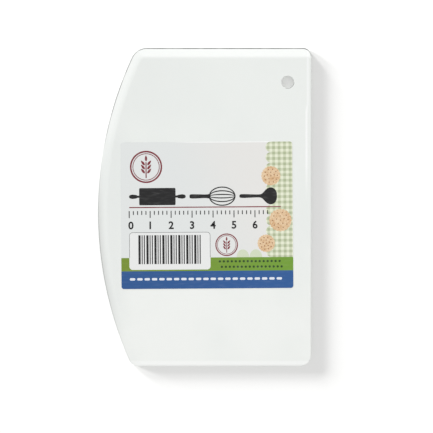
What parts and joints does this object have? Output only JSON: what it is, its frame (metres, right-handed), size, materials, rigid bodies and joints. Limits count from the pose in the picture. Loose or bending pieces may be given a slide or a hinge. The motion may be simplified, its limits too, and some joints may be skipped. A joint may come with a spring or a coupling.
{
  "type": "bowl scraper",
  "caption": "Flexible plastic bowl scraper: a flat bevelled plate with a bowed scraping side, a straight holding side, a hanging hole and a printed film label on its front.",
  "frame": {"origin": "middle of the plate's footprint, on the surface that its flat back lies on", "axes": "+Z out of the front face, +Y along the plate towards the end with the hanging hole, +X across it from the bowed scraping side to the straight holding side"},
  "size_m": [0.102, 0.152, 0.0021],
  "materials": {
    "white_plastic": "satin, slightly translucent white polypropylene with a fine moulded texture",
    "printed_film": "satin white film printed in dark red, black, green, blue and pale green"
  },
  "bodies": {
    "root": {"blade": "white_plastic", "label": "printed_film"}
  },
  "joints": []
}
